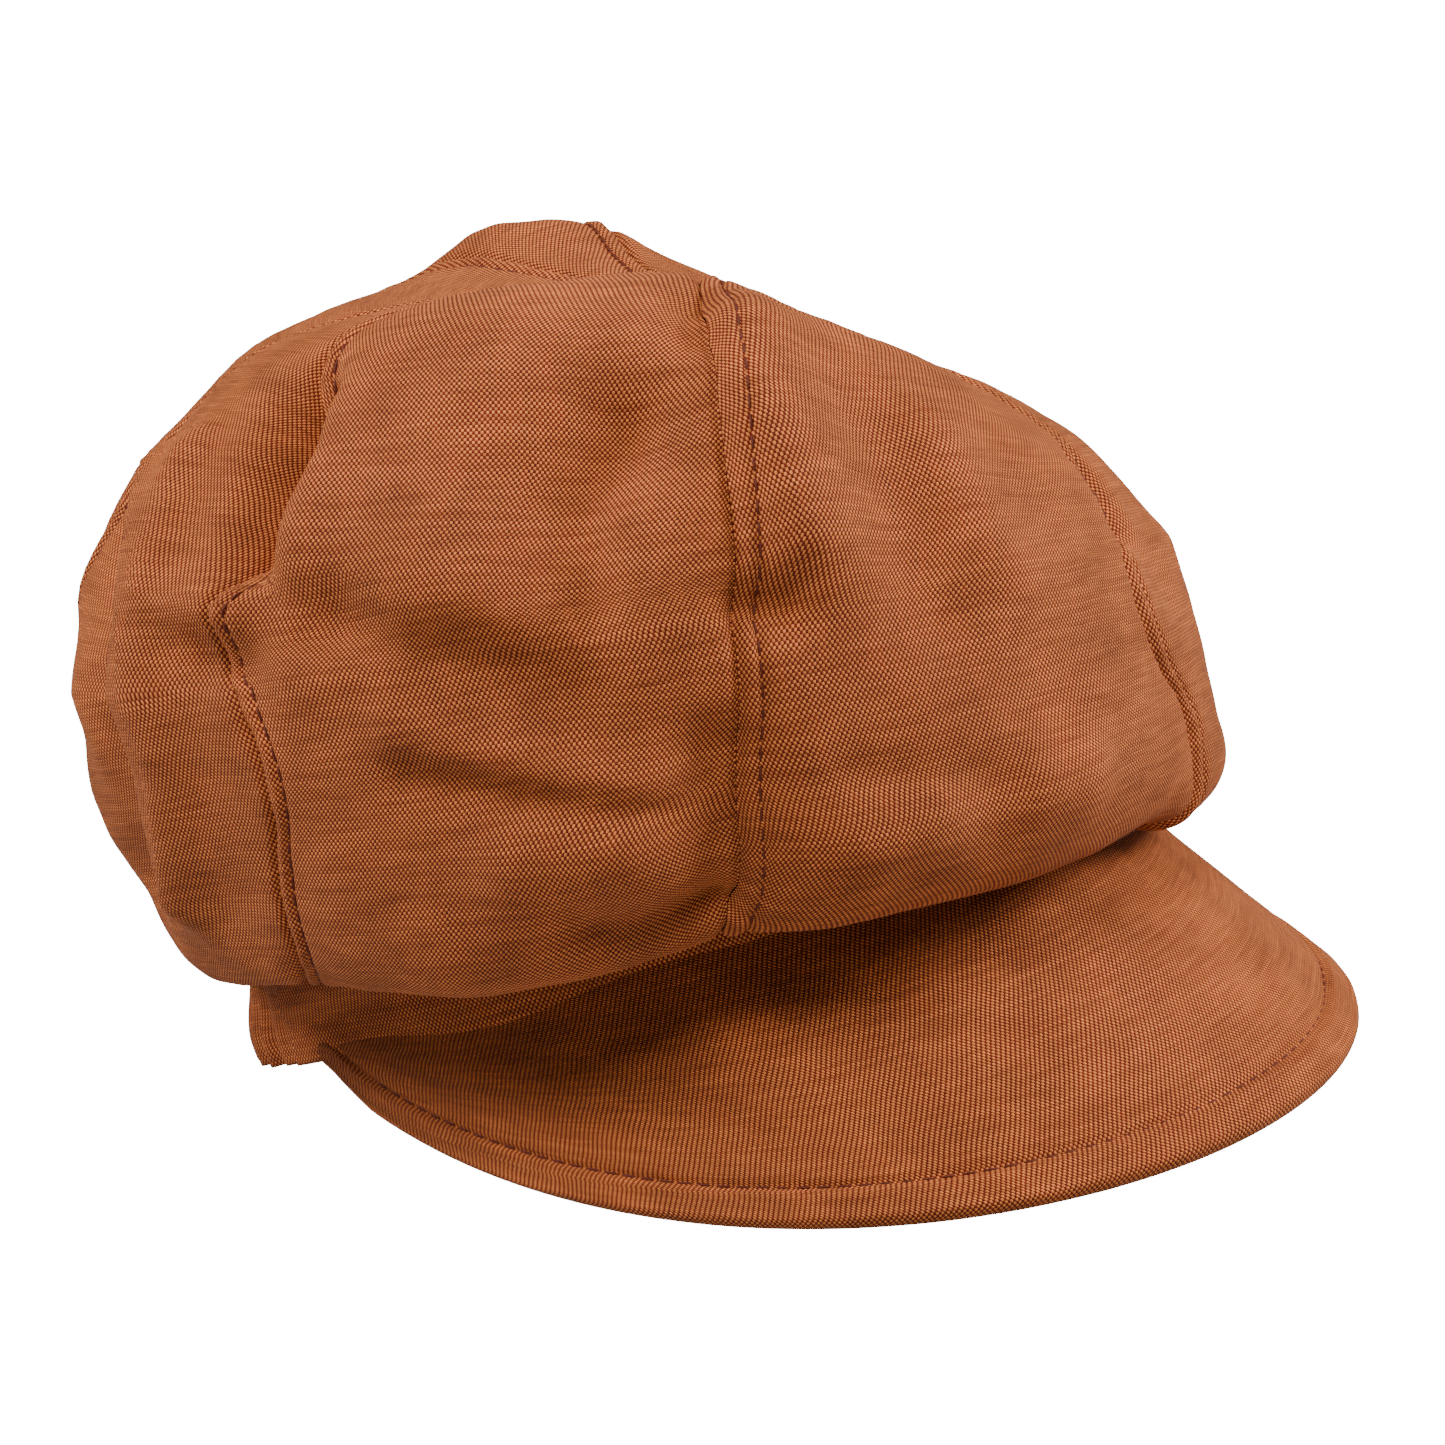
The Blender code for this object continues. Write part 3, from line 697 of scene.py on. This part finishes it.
def brim_cover(side, columns, rows):
    """One cover of the brim, side 1 above and -1 below, rolled round the edge to the middle."""
    share = np.sin(np.linspace(-1, 1, columns + 1) * math.pi / 2)[:, None] * 0.995
    roll = BRIM_THICKNESS / 2
    along = np.linspace(0, 1, rows + 1)[None, :]
    width = np.maximum(brim_width(share), 0.0006)
    radius = np.minimum(roll, width * 0.45)
    flat = np.minimum(along / BRIM_ROLL_START, 1) * (width - radius + BRIM_TUCK) - BRIM_TUCK
    bend = np.clip((along - BRIM_ROLL_START) / (1 - BRIM_ROLL_START), 0, 1) * math.pi / 2
    reach = flat + radius * np.sin(bend)
    depth = roll - roll * np.cos(bend)
    normal = brim_normal(share, reach)
    top = brim_surface(share, reach) - normal * BRIM_THICKNESS / 2
    lift = (roll - depth) + brim_relief(share, reach) * np.cos(bend)
    return top + side * normal * lift[..., None]


upper = laid_cloth("brim_upper_cloth", brim_cover(1, 280, 90), (2.5, 0.3))
piece = add_piece("brim_upper_cloth", upper, linen, "brim_upper_cover")
thicken(piece, CLOTH_THICKNESS)
under = laid_cloth("brim_lower_cloth", brim_cover(-1, 200, 60)[::-1], (3.1, 0.2))
piece = add_piece("brim_lower_cloth", under, linen, "brim_lower_cover")
thicken(piece, CLOTH_THICKNESS)

BRIM_STITCH_END = 0.90
stitch_share = np.linspace(-BRIM_STITCH_END, BRIM_STITCH_END, 500)
stitch_reach = brim_width(stitch_share) - BRIM_STITCH_OFFSET
normals = brim_normal(stitch_share, stitch_reach)
path = brim_surface(stitch_share, stitch_reach) + normals * brim_relief(stitch_share, stitch_reach)[:, None]
stitch_row("brim_stitches", path, normals, "brim_topstitch")

# ---------------------------------------------------------------------------------------------
# Inside: cotton lining gores that follow the crown's hollows, a ribbed ribbon sweatband, and the
# elastic tape behind the gathers of the band.
LINING_SLACK = 0.007
LINING_TURN = math.radians(66)
LINING_RISE = 0.0035
LINING_THICKNESS = 0.0004


def lining_points(first, last, columns, rows):
    across = np.linspace(first, last, columns + 1)[:, None]
    along = np.linspace(0, 1, rows + 1)[None, :]
    turn = 0.06 + (LINING_TURN - 0.06) * np.minimum(along / 0.7, 1)
    form = crown_form(across, turn)
    inside = LINING_SLACK - np.minimum(fold_relief(form), 0)
    dome = form - crown_normal(across, turn) * inside[..., None]
    edge = band_point(across, 0.0004, BAND_HEIGHT + LINING_RISE)
    share = smooth(np.clip((along - 0.7) / 0.3, 0, 1))[..., None] ** 0.9
    return dome + (edge - dome) * share


for index, place in enumerate(PANEL_PLACES):
    points = lining_points(-PANEL_ANGLE * (index + 1), -PANEL_ANGLE * index, 16, 60)
    data = laid_cloth("lining_" + place, points, (0.2 * index, 0.1))
    piece = add_piece("lining_" + place, data, lining_cotton, "lining_panel_" + place)
    thicken(piece, LINING_THICKNESS)

SWEATBAND_HEIGHT = 0.027
SWEATBAND_LIFT = 0.0015
SWEATBAND_THICKNESS = 0.0007
BAND_THICKNESS = 0.0010
ELASTIC_WIDTH = 0.020
ELASTIC_THICKNESS = 0.0008
ELASTIC_END = math.radians(112)
azimuth = np.linspace(0, 2 * math.pi, 361)[:, None]
height = SWEATBAND_LIFT + SWEATBAND_HEIGHT * np.linspace(1, 0, 25)[None, :]
depth = BAND_THICKNESS + ELASTIC_THICKNESS + pulled_in(azimuth, height)
data = laid_cloth("sweatband_cloth", band_point(azimuth, depth + SWEATBAND_THICKNESS, height), (4.0, 0.0))
piece = add_piece("sweatband_cloth", data, ribbon_cloth, "sweatband")
thicken(piece, SWEATBAND_THICKNESS)

azimuth = np.linspace(ELASTIC_END, 2 * math.pi - ELASTIC_END, 141)[:, None]
height = (BAND_HEIGHT + ELASTIC_WIDTH) / 2 - ELASTIC_WIDTH * np.linspace(0, 1, 13)[None, :]
depth = BAND_THICKNESS + pulled_in(azimuth, height)
data = laid_cloth("elastic_tape", band_point(azimuth, depth, height), (5.0, 0.0))
piece = add_piece("elastic_tape", data, elastic_cloth, "back_elastic")
thicken(piece, ELASTIC_THICKNESS)
